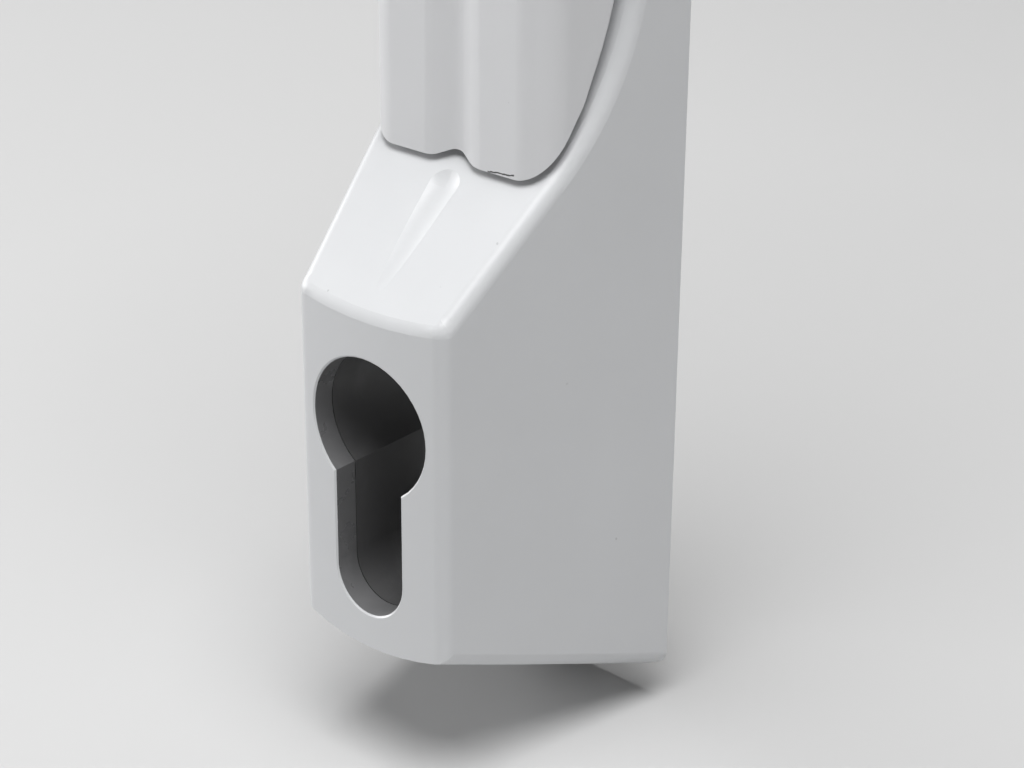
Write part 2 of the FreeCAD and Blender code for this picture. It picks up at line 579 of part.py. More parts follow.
# Handle lever: the groove down its front, which runs out below the hub
groove = new_sketch(handle, "XY_Plane", f"{TIP_Z}")
SLOPE = "(groove_slope * 1deg)"
FLOOR_X = f"(groove_round * sin({SLOPE}))"
FLOOR_Y = f"((groove_half_width - {FLOOR_X}) * tan({SLOPE}) - handle_front)"
OUTER_Y = f"(-handle_front - groove_half_width * tan({SLOPE}))"
outline(groove, [("-2 * groove_half_width", OUTER_Y), (f"-{FLOOR_X}", FLOOR_Y, "groove_round"),
                 (FLOOR_X, FLOOR_Y), ("2 * groove_half_width", OUTER_Y)])
run = handle.newObject("Sketcher::SketchObject", "handle_lever_path")
run.AttachmentSupport = (origin_plane(handle, "YZ_Plane"), "")
run.MapMode = "FlatFace"
GROOVE_TOP = "(spindle_rise - groove_end_below)"
RUNOUT_ANGLE = "(groove_runout_angle * 1deg)"
RUNOUT_Z = f"({GROOVE_TOP} + groove_runout_radius * sin({RUNOUT_ANGLE}))"
straight = run.addGeometry(Part.LineSegment(Vector(value("-handle_front"), value(TIP_Z), 0),
                                            Vector(value("-handle_front"), value(GROOVE_TOP), 0)), False)
circle = Part.Circle(Vector(value("-handle_front - groove_runout_radius"), value(GROOVE_TOP), 0),
                     Vector(0, 0, 1), value("groove_runout_radius"))
bend = run.addGeometry(Part.ArcOfCircle(circle, 0, math.radians(value("groove_runout_angle"))), False)
pin_down(run, straight, 1, "-handle_front", TIP_Z)
pin_down(run, straight, 2, "-handle_front", GROOVE_TOP)
run.addConstraint(Sketcher.Constraint("Coincident", straight, 2, bend, 1))
pin_down(run, bend, 3, "-handle_front - groove_runout_radius", GROOVE_TOP)
place = run.addConstraint(Sketcher.Constraint("DistanceY", -1, 1, bend, 2, value(RUNOUT_Z)))
run.setExpression(f"Constraints[{place}]", bound(RUNOUT_Z))
doc.recompute()
swept = handle.newObject("PartDesign::SubtractivePipe", "handle_lever_groove")
swept.Profile = groove
swept.Spine = (run, ["Edge1", "Edge2"])
doc.recompute()

# Handle lever: hollow back, slot for the spindle's tongue, relief, pin bore, nose pocket
FLOOR_DEPTH = "(handle_front - handle_skin)"
hollow = new_sketch(handle, "XZ_Plane", HANDLE_BACK)
SLOT_LOW = "(spindle_rise - tongue_radius - 3 * tongue_gap)"
SLOT_HALF = "(tongue_half_width + tongue_gap)"
box_outline(hollow, "handle_half_width - handle_wall", f"{HUG_TOP} + handle_wall",
            f"{SLOT_LOW} - 2 * handle_wall")
feature(handle, "Pocket", hollow, f"{FLOOR_DEPTH} - {HANDLE_BACK}", backwards=True)
slot = new_sketch(handle, "XZ_Plane", HANDLE_BACK)
box_outline(slot, SLOT_HALF, SLOT_LOW, "spindle_rise + 2 * tongue_radius")
feature(handle, "Pocket", slot, f"pin_height + tongue_radius + 2 * tongue_gap - {HANDLE_BACK}",
        backwards=True)
relief = new_sketch(handle, "YZ_Plane")
LEAN = "((flip_angle + flip_spare) * 1deg)"
REACH = "(pin_height - base_thick - handle_gap / 2)"


def relief_point(behind):
    """A point on the plane that turns parallel to the base when the handle is flipped
    out, given how far it lies behind the pin."""
    rise = f"(({REACH} - ({behind}) * cos({LEAN})) / sin({LEAN}))"
    return (f"({behind}) - pin_height", f"spindle_rise + {rise}")


outline(relief, [relief_point("pin_height / 2"), relief_point("-2 * pin_height / 3"),
                 ("base_thick", relief_point("-2 * pin_height / 3")[1]),
                 ("base_thick", relief_point("pin_height / 2")[1])])
feature(handle, "Pocket", relief, ACROSS, both_ways=True)
bore = new_sketch(handle, "YZ_Plane")
ring(bore, "-pin_height", "spindle_rise", "pin_radius")
feature(handle, "Pocket", bore, ACROSS, both_ways=True)
pocket = new_sketch(handle, "XZ_Plane", "nose_front + 2 * seat_gap")
box_outline(pocket, "nose_half_width + 3 * seat_gap", TIP_Z, f"{NOSE_TOP} + slide_travel + 4 * seat_gap")
feature(handle, "Pocket", pocket, "nose_thick + 4 * seat_gap")

# Spindle: flange, journal, square end, and the tongue that the handle's pin goes through
spindle = new_body("spindle")
disc(spindle, "Pad", "0", "spindle_rise", "journal_radius", f"-{CAM_BACK}",
     f"{CAM_BACK} + {FLANGE_BACK} + flange_thick / 2")
disc(spindle, "Pad", "0", "spindle_rise", "flange_radius", FLANGE_BACK, "flange_thick")
tongue = new_sketch(spindle, "YZ_Plane")
outline(tongue, [(f"-{FLANGE_BACK} - flange_thick / 2", "spindle_rise - tongue_radius"),
                 (f"-{FLANGE_BACK} - flange_thick / 2", "spindle_rise + tongue_radius"),
                 ("-pin_height", "spindle_rise + tongue_radius", "-tongue_radius", "half"),
                 ("-pin_height", "spindle_rise - tongue_radius")])
feature(spindle, "Pad", tongue, "2 * tongue_half_width", both_ways=True)
bore = new_sketch(spindle, "YZ_Plane")
ring(bore, "-pin_height", "spindle_rise", "pin_radius + running_gap")
feature(spindle, "Pocket", bore, ACROSS, both_ways=True)
square = new_sketch(spindle, "XZ_Plane", f"-{CAM_BACK}")
ring(square, "0", "spindle_rise", "2 * journal_radius")
box_outline(square, "square_half_width", "spindle_rise - square_half_width",
            "spindle_rise + square_half_width")
feature(spindle, "Pocket", square, f"{CAM_BACK} - {STOP_FRONT}", backwards=True)


def neck(depth, radius, width):
    """A groove round the spindle's journal, from a depth towards the back."""
    sketch = new_sketch(spindle, "XZ_Plane", depth)
    ring(sketch, "0", "spindle_rise", "2 * journal_radius")
    ring(sketch, "0", "spindle_rise", radius)
    feature(spindle, "Pocket", sketch, width)


neck(f"-{CLIP_FRONT}", "clip_seat", "clip_thick")
neck("-seal_place", "journal_radius - seal_width", "seal_width")
disc(spindle, "Pocket", "0", "spindle_rise", "cam_screw_radius", f"-{CAM_BACK}", "cam_screw_depth",
     backwards=True)

# Bush, washer and clip round the spindle
bush = new_body("spindle_bush")
sketch = new_sketch(bush, "XZ_Plane", "-rear_boss_length")
ring(sketch, "0", "spindle_rise", BUSH_RADIUS)
ring(sketch, "0", "spindle_rise", "journal_radius + running_gap")
feature(bush, "Pad", sketch, f"rear_boss_length + {SEAT_DEPTH}")

washer = new_body("thrust_washer")
sketch = new_sketch(washer, "XZ_Plane", SEAT_DEPTH)
ring(sketch, "0", "spindle_rise", "flange_radius")
ring(sketch, "0", "spindle_rise", "journal_radius + running_gap")
feature(washer, "Pad", sketch, "washer_thick")

seal = new_body("spindle_seal")
sketch = new_sketch(seal, "XZ_Plane", "-seal_place - seal_width")
ring(sketch, "0", "spindle_rise", "journal_radius")
ring(sketch, "0", "spindle_rise", "journal_radius - seal_width")
feature(seal, "Pad", sketch, "seal_width")

clip = new_body("retaining_ring")
sketch = new_sketch(clip, "XZ_Plane", f"-{CLIP_FRONT} - clip_thick")
ring(sketch, "0", "spindle_rise", "clip_radius")
ring(sketch, "0", "spindle_rise", "clip_seat")
feature(clip, "Pad", sketch, "clip_thick")
mouth = new_sketch(clip, "XZ_Plane", f"-{CLIP_FRONT} - clip_thick")
box_outline(mouth, "clip_seat / 2", "spindle_rise - 2 * clip_radius", "spindle_rise")
feature(clip, "Pocket", mouth, "clip_thick", backwards=True)

# Stop washer: its recess lets the fixed stop pin pass a quarter turn
stop = new_body("stop_washer")
sketch = new_sketch(stop, "XZ_Plane", f"-{CAM_FRONT}")
ring(sketch, "0", "spindle_rise", "stop_radius")
box_outline(sketch, "square_half_width", "spindle_rise - square_half_width",
            "spindle_rise + square_half_width")
feature(stop, "Pad", sketch, "stop_thick")
recess = new_sketch(stop, "XZ_Plane", f"-{CAM_FRONT}")
PIN_SPREAD = "(asin((stop_pin_radius + running_gap) / stop_pin_place))"
RECESS_FLOOR = "(stop_pin_place - stop_pin_radius - 2 * end_gap)"
RECESS_START = f"(90deg - swing_angle * 1deg - {PIN_SPREAD})"
RECESS_END = f"(90deg + {PIN_SPREAD})"
OUTSIDE = "(stop_radius + 2 * stop_pin_radius)"


def polar(radius, angle):
    return (f"{radius} * cos({angle})", f"spindle_rise + {radius} * sin({angle})")


outline(recess, [polar(OUTSIDE, RECESS_START) + (f"-{OUTSIDE}",), polar(OUTSIDE, RECESS_END),
                 polar(RECESS_FLOOR, RECESS_END) + (RECESS_FLOOR,), polar(RECESS_FLOOR, RECESS_START)])
feature(stop, "Pocket", recess, "stop_thick", backwards=True)

# Latch cam: a tongue on the spindle's square end that reaches behind the frame
cam = new_body("latch_cam")
sketch = new_sketch(cam, "XZ_Plane", f"-{CAM_BACK}")
outline(sketch, [("0", "spindle_rise - cam_half_width"), ("cam_reach", "spindle_rise - cam_tip_half_width"),
                 ("cam_reach", "spindle_rise + cam_tip_half_width"), ("0", "spindle_rise + cam_half_width",
                 "-cam_half_width", "half")])
feature(cam, "Pad", sketch, "cam_thick")
dress(cam, "Chamfer", "cam_bevel",
      lambda edge: close_to(edge.BoundBox.XMin, value("cam_reach")) and close_to(edge.BoundBox.YMax,
                                                                               value(CAM_FRONT)))
sketch = new_sketch(cam, "XZ_Plane", f"-{CAM_BACK}")
box_outline(sketch, "square_half_width", "spindle_rise - square_half_width",
            "spindle_rise + square_half_width")
feature(cam, "Pocket", sketch, "cam_thick", backwards=True)


# Plain round pieces and screws, as primitives
def primitive(kind, label, at, lying, sizes):
    """A primitive at (x, depth in front of the door, z); lying turns its axis to point
    to the front ("front"), to the back ("back") or to the side ("side")."""
    made = doc.addObject("Part::" + kind, label)
    turns = {"front": ((1, 0, 0), 90), "back": ((1, 0, 0), -90), "side": ((0, 1, 0), 90)}
    axis_vector, angle = turns[lying]
    made.Placement = FreeCAD.Placement(Vector(0, 0, 0), FreeCAD.Rotation(Vector(*axis_vector), angle))
    for letter, expression in zip("xyz", (at[0], f"-({at[1]})", at[2])):
        made.setExpression(f"Placement.Base.{letter}", bound(expression))
    for name, expression in sizes.items():
        made.setExpression(name, bound(expression))
    return made


def boolean(kind, label, base, tool):
    made = doc.addObject("Part::" + kind, label)
    made.Base = base
    made.Tool = tool
    return made


def socket_screw(name, at, length):
    """A socket screw whose head stands behind the seat at the given place."""
    x, depth, z = at
    head = primitive("Cylinder", name + "_head", (x, depth, z), "back",
                     {"Radius": "screw_head_radius", "Height": "screw_head_height"})
    shank = primitive("Cylinder", name + "_shank", (x, depth, z), "front",
                      {"Radius": "screw_radius", "Height": length})
    socket = primitive("Prism", name + "_socket", (x, f"{depth} - screw_head_height", z), "front",
                       {"Circumradius": "screw_socket_radius", "Height": "screw_socket_depth"})
    return boolean("Cut", name, boolean("Fuse", name + "_solid", head, shank), socket)


def group(label, members):
    made = doc.addObject("Part::Compound", label)
    made.Links = members
    return made


carrier_screws = group("carrier_screws", [
    socket_screw(f"carrier_screw_{n}", (x, "(carrier_back + screw_sink)", z), "screw_length - screw_sink")
    for n, (x, z) in enumerate(CARRIER_SCREWS)])
cover_screws = group("cover_screws", [
    socket_screw(f"cover_screw_{n}", (x, f"({COVER_FRONT} - cover_thick)", z), "screw_length")
    for n, (x, z) in enumerate(COVER_SCREWS)])

hinge_pin = primitive("Cylinder", "hinge_pin", ("-handle_half_width", "pin_height", "spindle_rise"),
                      "side", {"Radius": "pin_radius", "Height": "2 * handle_half_width"})
stop_pin = primitive("Cylinder", "stop_pin",
                     ("0", "stop_pin_depth - rear_boss_length", "spindle_rise + stop_pin_place"), "back",
                     {"Radius": "stop_pin_radius",
                      "Height": f"stop_pin_depth + {CAM_FRONT} - rear_boss_length - end_gap"})
RING_BACK = f"({CAM_BACK} + spring_washer_thick)"
washer_disc = primitive("Cylinder", "spring_washer_disc", ("0", f"-{CAM_BACK}", "spindle_rise"), "back",
                        {"Radius": "spring_washer_radius", "Height": "spring_washer_thick"})
washer_hole = primitive("Cylinder", "spring_washer_hole", ("0", f"-{CAM_BACK}", "spindle_rise"), "back",
                        {"Radius": "cam_screw_radius + running_gap", "Height": "spring_washer_thick"})
washer_slit = doc.addObject("Part::Box", "spring_washer_cut")
for name, expression in {"Length": "spring_washer_slit", "Width": "spring_washer_thick",
                         "Height": "spring_washer_radius", "Placement.Base.x": "-spring_washer_slit / 2",
                         "Placement.Base.y": CAM_BACK, "Placement.Base.z": "spindle_rise"}.items():
    washer_slit.setExpression(name, bound(expression))
spring_washer = boolean("Cut", "spring_washer",
                        boolean("Cut", "spring_washer_ring", washer_disc, washer_hole), washer_slit)
hexagon = primitive("Prism", "cam_screw_hexagon", ("0", f"-{RING_BACK}", "spindle_rise"), "back",
                    {"Circumradius": "cam_screw_flat / cos(30deg)", "Height": "cam_screw_head"})
screw_shank = primitive("Cylinder", "cam_screw_shank", ("0", f"-{RING_BACK}", "spindle_rise"), "front",
                        {"Radius": "cam_screw_radius",
                         "Height": "cam_screw_depth + spring_washer_thick - 2 * end_gap"})
cam_screw = boolean("Fuse", "cam_screw", hexagon, screw_shank)
doc.recompute()

NODES = [housing, gasket, carrier, carrier_screws, lock_slide, cover, cover_screws, handle, hinge_pin,
         spindle, bush, washer, clip, seal, stop, stop_pin, cam, spring_washer, cam_screw]
for made in doc.Objects:
    if "Invalid" in made.State or "Error" in made.State:
        raise RuntimeError(f"{made.Name} did not build: {made.State}")
os.makedirs("parts", exist_ok=True)
for node in NODES:
    if node.Shape.isNull() or not node.Shape.isValid() or not node.Shape.Solids:
        raise RuntimeError(f"{node.Label} has no valid solid")
    node.Shape.exportStep(f"parts/{node.Label}.step")
    print(f"{node.Label:18} solids {len(node.Shape.Solids)} volume {node.Shape.Volume:9.1f}")
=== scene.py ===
import math

import bmesh
import bpy
from mathutils import Matrix, Vector


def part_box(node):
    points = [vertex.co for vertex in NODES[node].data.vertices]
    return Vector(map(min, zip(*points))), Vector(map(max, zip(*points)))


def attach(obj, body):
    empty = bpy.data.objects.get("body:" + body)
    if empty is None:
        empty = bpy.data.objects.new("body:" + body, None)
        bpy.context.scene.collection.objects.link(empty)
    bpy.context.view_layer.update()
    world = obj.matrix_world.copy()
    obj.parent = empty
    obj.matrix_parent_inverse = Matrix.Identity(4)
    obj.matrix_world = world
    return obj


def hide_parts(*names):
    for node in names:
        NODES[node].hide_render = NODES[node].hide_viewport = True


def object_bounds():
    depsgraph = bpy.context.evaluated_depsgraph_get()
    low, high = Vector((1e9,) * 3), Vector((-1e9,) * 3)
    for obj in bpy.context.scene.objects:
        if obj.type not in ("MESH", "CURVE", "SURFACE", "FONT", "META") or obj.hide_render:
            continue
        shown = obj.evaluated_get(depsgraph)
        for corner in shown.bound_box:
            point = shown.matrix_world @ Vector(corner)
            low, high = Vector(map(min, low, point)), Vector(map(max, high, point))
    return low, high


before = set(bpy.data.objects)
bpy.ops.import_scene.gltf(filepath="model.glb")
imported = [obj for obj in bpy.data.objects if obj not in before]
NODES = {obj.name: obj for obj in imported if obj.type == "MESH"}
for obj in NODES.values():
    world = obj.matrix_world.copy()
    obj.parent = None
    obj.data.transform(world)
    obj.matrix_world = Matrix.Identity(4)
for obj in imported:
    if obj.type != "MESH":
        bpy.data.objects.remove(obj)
CAD_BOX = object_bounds()
MILLIMETRE = 0.001


def material(name):
    """A new material with its node tree and its shader."""
    made = bpy.data.materials.new(name)
    made.use_nodes = True
    return made, made.node_tree, made.node_tree.nodes["Principled BSDF"]


def node(tree, kind, **settings):
    """A new node; each setting is the value of an input, or else a property."""
    made = tree.nodes.new(kind)
    for key, setting in settings.items():
        if key in made.inputs:
            made.inputs[key].default_value = setting
        else:
            setattr(made, key, setting)
    return made


def noise(tree, scale, detail=2.0, roughness=0.5, stretch=(1, 1, 1)):
    """Noise in the object's own metres, stretched along an axis where wanted."""
    place = tree.nodes.new("ShaderNodeTexCoord")
    mapping = node(tree, "ShaderNodeMapping", Scale=stretch)
    made = node(tree, "ShaderNodeTexNoise", Scale=scale, Detail=detail, Roughness=roughness)
    tree.links.new(place.outputs["Object"], mapping.inputs["Vector"])
    tree.links.new(mapping.outputs["Vector"], made.inputs["Vector"])
    return made.outputs["Fac"]


def spread(tree, value, low, high, start=0.3, stop=0.7):
    """A value that goes from low to high while the one given goes from start to stop."""
    made = node(tree, "ShaderNodeMapRange",
                **{"From Min": start, "From Max": stop, "To Min": low, "To Max": high})
    tree.links.new(value, made.inputs["Value"])
    return made.outputs["Result"]


def tinted(tree, value, first, second):
    """A colour from first to second, by a value from 0 to 1; first may be a node's output."""
    made = node(tree, "ShaderNodeMix", data_type="RGBA")
    if isinstance(first, bpy.types.NodeSocket):
        tree.links.new(first, made.inputs["A"])
    else:
        made.inputs["A"].default_value = (*first, 1)
    made.inputs["B"].default_value = (*second, 1)
    tree.links.new(value, made.inputs["Factor"])
    return made.outputs["Result"]


def shaded(colour, share):
    """The same colour, darker or paler."""
    return [share * c for c in colour]


def combined(tree, operation, first, second=None):
    """One value or two put through a maths operation."""
    made = node(tree, "ShaderNodeMath", operation=operation)
    for socket, value in zip(made.inputs, (first, second)):
        if value is not None:
            tree.links.new(value, socket)
    return made.outputs["Value"]


def dressed(tree, shader, colour, roughness, texture, strength, depth):
    """Gives the shader its colour, its roughness and a texture's bumps, their depth in metres."""
    bump = node(tree, "ShaderNodeBump", Strength=strength, Distance=depth)
    tree.links.new(colour, shader.inputs["Base Color"])
    tree.links.new(roughness, shader.inputs["Roughness"])
    tree.links.new(texture, bump.inputs["Height"])
    tree.links.new(bump.outputs["Normal"], shader.inputs["Normal"])


# Shares of the full colour in clouds, dust specks, stains and smears
COAT_CLOUD, COAT_SPECK, METAL_STAIN, CASTING_SMEAR, POLYMER_CLOUD = 0.975, 0.78, 0.86, 1.25, 0.7


def paint(name, colour, roughness, peel):
    """Baked powder coat: a fine orange peel, faint clouds in the colour and a few dust specks."""
    made, tree, shader = material(name)
    clouds = spread(tree, noise(tree, scale=60, detail=3), 0, 1)
    clouded = tinted(tree, clouds, shaded(colour, COAT_CLOUD), colour)
    specks = spread(tree, noise(tree, scale=900, detail=1, roughness=0.4), 0, 1, start=0.81, stop=0.83)
    dressed(tree, shader,
            colour=tinted(tree, specks, clouded, shaded(colour, COAT_SPECK)),
            roughness=spread(tree, noise(tree, scale=240), roughness - 0.03, roughness + 0.04),
            texture=noise(tree, scale=1100), strength=peel, depth=0.00004)
    shader.inputs["IOR"].default_value = 1.5
    return made


def nicked(coat, start, stop, half):
    """A ragged dark line in the coat from start to stop, both (x, z) in the part's frame."""
    tree = coat.node_tree
    base = tree.nodes["Principled BSDF"].inputs["Base Color"]
    place = node(tree, "ShaderNodeSeparateXYZ")
    tree.links.new(node(tree, "ShaderNodeTexCoord").outputs["Object"], place.inputs["Vector"])
    along, height = place.outputs["X"], place.outputs["Z"]
    middle = spread(tree, along, start[1], stop[1], start[0], stop[0])
    ragged = spread(tree, noise(tree, scale=1400), -half, half)
    away = combined(tree, "ADD", combined(tree, "SUBTRACT", height, middle), ragged)
    line = spread(tree, combined(tree, "ABSOLUTE", away), 1, 0, 0.8 * half, 1.3 * half)
    entry = spread(tree, along, 0, 1, start[0], start[0] + half)
    leave = spread(tree, along, 1, 0, stop[0] - half, stop[0])
    mark = combined(tree, "MULTIPLY", line, combined(tree, "MULTIPLY", entry, leave))
    tree.links.new(tinted(tree, mark, base.links[0].from_socket, NICK_COLOUR), base)


def plated(name, colour, roughness, grain=(1, 1, 1)):
    """Zinc plate or plain steel: faint grain, cloudy sheen and small stains."""
    made, tree, shader = material(name)
    stains = spread(tree, noise(tree, scale=140, detail=4), 0, 1)
    sheen = noise(tree, scale=700, detail=3, stretch=grain)
    dressed(tree, shader,
            colour=tinted(tree, stains, shaded(colour, METAL_STAIN), colour),
            roughness=spread(tree, sheen, roughness - 0.07, roughness + 0.1),
            texture=noise(tree, scale=1500, stretch=grain), strength=0.25, depth=0.00003)
    shader.inputs["Metallic"].default_value = 1
    return made


def casting(name, colour, roughness):
    """Die casting inside the opening, made dark as painted shade: satin, with pale smears left by handling.
    """
    made, tree, shader = material(name)
    handling = noise(tree, scale=130, detail=5, roughness=0.6, stretch=(1, 1, 0.35))
    smears = spread(tree, handling, 0, 1, start=0.56, stop=0.72)
    dressed(tree, shader,
            colour=tinted(tree, smears, colour, shaded(colour, CASTING_SMEAR)),
            roughness=spread(tree, noise(tree, scale=400, detail=3), roughness - 0.06, roughness + 0.1),
            texture=noise(tree, scale=900, detail=3), strength=0.3, depth=0.00004)
    shader.inputs["Metallic"].default_value = 0.3
    return made


def polymer(name, colour, roughness, texture, depth):
    """Moulded plastic or rubber with a fine spark-eroded texture."""
    made, tree, shader = material(name)
    clouds = spread(tree, noise(tree, scale=300, detail=3), 0, 1)
    dressed(tree, shader,
            colour=tinted(tree, clouds, shaded(colour, POLYMER_CLOUD), colour),
            roughness=spread(tree, noise(tree, scale=500), roughness - 0.05, roughness + 0.05),
            texture=noise(tree, scale=texture), strength=0.5, depth=depth)
    return made


# A hairline nick in the coat along the handle's lower front edge: its ends in X and in Z
NICK_START, NICK_STOP = (0.0053, -0.06150), (0.0093, -0.06112)
NICK_HALF = 0.00010
NICK_COLOUR = (0.05, 0.05, 0.05)

COAT = paint("powder_coat", colour=(0.602, 0.610, 0.622), roughness=0.36, peel=0.25)
# Painted light: the handle gets the housing's coat made paler, for its brighter front
HANDLE_COAT_PAINTED_LIGHT = paint("handle_coat_painted_light", colour=(0.66, 0.664, 0.676), roughness=0.36, peel=0.25)
nicked(HANDLE_COAT_PAINTED_LIGHT, NICK_START, NICK_STOP, NICK_HALF)
# Painted shade: the carrier inside the opening is dark grey in place of its light grey coat
CARRIER_PAINTED_SHADE = casting("carrier_painted_shade", colour=(0.13, 0.13, 0.132), roughness=0.4)
# Painted shade: the opening's walls in the housing get a dark grey, a little paler than the carrier's
COLLAR_PAINTED_SHADE = casting("collar_painted_shade", colour=(0.215, 0.215, 0.22), roughness=0.3)
ZINC = plated("zinc_plate", colour=(0.62, 0.62, 0.58), roughness=0.34)
SHEET = plated("zinc_sheet", colour=(0.64, 0.64, 0.61), roughness=0.30, grain=(6, 6, 0.4))
STEEL = plated("plain_steel", colour=(0.56, 0.56, 0.55), roughness=0.24, grain=(0.3, 6, 6))
SPRING = plated("phosphated_steel", colour=(0.13, 0.13, 0.135), roughness=0.5)
RUBBER = polymer("seal_rubber", colour=(0.022, 0.022, 0.023), roughness=0.75, texture=900, depth=0.00003)
PLASTIC = polymer("black_plastic", colour=(0.035, 0.035, 0.037), roughness=0.5, texture=1600, depth=0.00002)
FINISHES = {
    COAT: ["housing"],
    HANDLE_COAT_PAINTED_LIGHT: ["handle_lever"],
    CARRIER_PAINTED_SHADE: ["cylinder_carrier"],
    ZINC: ["carrier_screws", "cover_screws", "latch_cam", "lock_slide", "spindle", "stop_washer",
           "cam_screw"],
    SHEET: ["slide_cover"],
    STEEL: ["hinge_pin", "stop_pin"],
    SPRING: ["retaining_ring", "spring_washer"],
    RUBBER: ["gasket", "spindle_seal"],
    PLASTIC: ["spindle_bush", "thrust_washer"],
}
for finish, names in FINISHES.items():
    for name in names:
        mesh = NODES[name].data
        mesh.materials.clear()
        mesh.materials.append(finish)

# The walls of the opening in the boss, up to the bevel at its mouth, get a darker coat: painted shade
# inside the opening
PAINTED_SHADE_SLOT = 1
OPENING_HALF_WIDTH = 0.009
OPENING_SLACK = 0.0005
WALL_TILT = 0.5
opening_low, opening_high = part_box("cylinder_carrier")
housing = NODES["housing"].data
housing.materials.append(COLLAR_PAINTED_SHADE)
for polygon in housing.polygons:
    ahead = polygon.center.y < opening_low[1] + OPENING_SLACK
    inside = (abs(polygon.center.x) < OPENING_HALF_WIDTH
              and opening_low[2] < polygon.center.z < opening_high[2])
    if ahead and inside and abs(polygon.normal.y) < WALL_TILT:
        polygon.material_index = PAINTED_SHADE_SLOT

# Faces that turn less than FLAT are one face, and edges that turn less than SHARP look smooth
FLAT = math.radians(0.4)
SHARP = math.radians(38)
WELD_DISTANCE = 0.002 * MILLIMETRE
NORMAL_WEIGHT = 90


def turn_of(edge):
    """The angle between an edge's two faces, or none on an open edge."""
    return edge.calc_face_angle(0) if len(edge.link_faces) == 2 else 0


def middle_of(edge):
    """The point halfway along an edge."""
    return (edge.verts[0].co + edge.verts[1].co) / 2


def written(work, mesh):
    """Puts the worked skin into its mesh, smooth but for its sharp edges."""
    for edge in work.edges:
        edge.smooth = turn_of(edge) < SHARP
    for face in work.faces:
        face.smooth = True
    work.to_mesh(mesh)
    work.free()


def placed(name, data):
    """A new object in the scene."""
    made = bpy.data.objects.new(name, data)
    bpy.context.scene.collection.objects.link(made)
    return made


def rounded(work, chosen, width, segments):
    """Rounds the chosen edges over a width in millimetres."""
    edges = [edge for edge in work.edges if chosen(edge)]
    bmesh.ops.bevel(work, geom=edges, offset=width * MILLIMETRE, offset_type="OFFSET", segments=segments,
                    profile=0.5, affect="EDGES", clamp_overlap=False, harden_normals=False)


def finished(name, node_name, body, rounds, shape=None):
    """A node's own form as one skin with whole flat faces, shaped and then rounded.

    Each of the rounds says which edges, their width in millimetres and their segments.
    """
    mesh = NODES[node_name].data.copy()
    work = bmesh.new()
    work.from_mesh(mesh)
    bmesh.ops.remove_doubles(work, verts=work.verts, dist=WELD_DISTANCE)
    bmesh.ops.dissolve_limit(work, angle_limit=FLAT, verts=work.verts, edges=work.edges)
    if shape:
        shape(work)
    for chosen, width, segments in rounds:
        rounded(work, chosen, width, segments)
    written(work, mesh)
    made = placed(name, mesh)
    weighted = made.modifiers.new("weighted_normals", "WEIGHTED_NORMAL")
    weighted.keep_sharp = True
    weighted.weight = NORMAL_WEIGHT
    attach(made, body)
    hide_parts(node_name)


# The handle as cast and ground. Its groove's crests are long and lie near the front's middle, its
# flanks are the outer part of its width, and its back is rounded between the tip and the hinge.
handle_low, handle_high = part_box("handle_lever")
CREST_DEPTH = handle_low[1] + 0.3 * MILLIMETRE
CREST_HALF_WIDTH = 0.5 * handle_high[0]
CREST_LENGTH = 50 * MILLIMETRE
CREST_TURN = math.radians(8)
FLANK = 0.88 * handle_high[0]
BACK_START = handle_low[2] + 9 * MILLIMETRE
BACK_STOP = 0.080
CREST_ROUND, BACK_ROUND, ROUND_SEGMENTS = 1.2, 0.7, 4
# The land is lowered by up to 0.45 mm, which fades in over 6 mm that start 6 mm above the tip.
# Its faces point backward, hardly sideways.
LAND_LOWERED, LAND_FADE = 0.45, 6
LAND_STOP = 0.060
LAND_SIDEWAYS, LAND_BACKWARD = 0.2, 0.3


def is_crest(edge):
    """One of the two long edges where the groove meets the handle's front."""
    middle = middle_of(edge)
    on_front = middle.y < CREST_DEPTH and abs(middle.x) < CREST_HALF_WIDTH
    straight = edge.calc_length() > CREST_LENGTH
    return on_front and straight and CREST_TURN < turn_of(edge) < SHARP


def is_back_edge(edge):
    """An edge of the handle's back along one of its flanks."""
    middle = middle_of(edge)
    return abs(middle.x) > FLANK and turn_of(edge) > SHARP and BACK_START < middle.z < BACK_STOP


def lowered_land(work):
    """Brings the rim of the handle's back nearer to its bed, for the photo's thin gap."""
    normals = {}
    for face in work.faces:
        outer = any(abs(vertex.co.x) > FLANK for vertex in face.verts)
        if outer and abs(face.normal.x) < LAND_SIDEWAYS and face.normal.y > LAND_BACKWARD:
            for vertex in face.verts:
                normals[vertex] = normals.get(vertex, Vector()) + face.normal
    for vertex, normal in normals.items():
        above_tip = (vertex.co.z - handle_low[2]) / MILLIMETRE - LAND_FADE
        if vertex.co.z < LAND_STOP:
            share = min(1, max(0, above_tip / LAND_FADE))
            vertex.co += LAND_LOWERED * MILLIMETRE * share * normal.normalized()


finished("handle_casting", "handle_lever", "handle_group",
         [(is_crest, CREST_ROUND, ROUND_SEGMENTS), (is_back_edge, BACK_ROUND, ROUND_SEGMENTS)],
         shape=lowered_land)


def is_hard(edge):
    """An outer edge that a cut, turned or moulded piece has broken."""
    return edge.is_convex and turn_of(edge) > SHARP


# Cut sheet, turned steel and moulded rubber: body and edge break in millimetres
BROKEN = {"latch_cam": ("spindle_group", 0.35), "stop_washer": ("spindle_group", 0.2),
          "slide_cover": ("housing_group", 0.2), "lock_slide": ("slide_group", 0.25),
          "gasket": ("housing_group", 0.3)}
BREAK_SEGMENTS = 2
for name, (body, width) in BROKEN.items():
    finished(name + "_broken_edges", name, body, [(is_hard, width, BREAK_SEGMENTS)])

# Screws and seal as bought: turned and headed forms about an axis along Y, in millimetres
TURNS = 48


def hexagon(corner, step):
    """The radius of a hexagon, one corner along X, at one of the steps round it."""
    angle = (360 * step / TURNS) % 60 - 30
    return corner * math.cos(math.radians(30)) / math.cos(math.radians(angle))


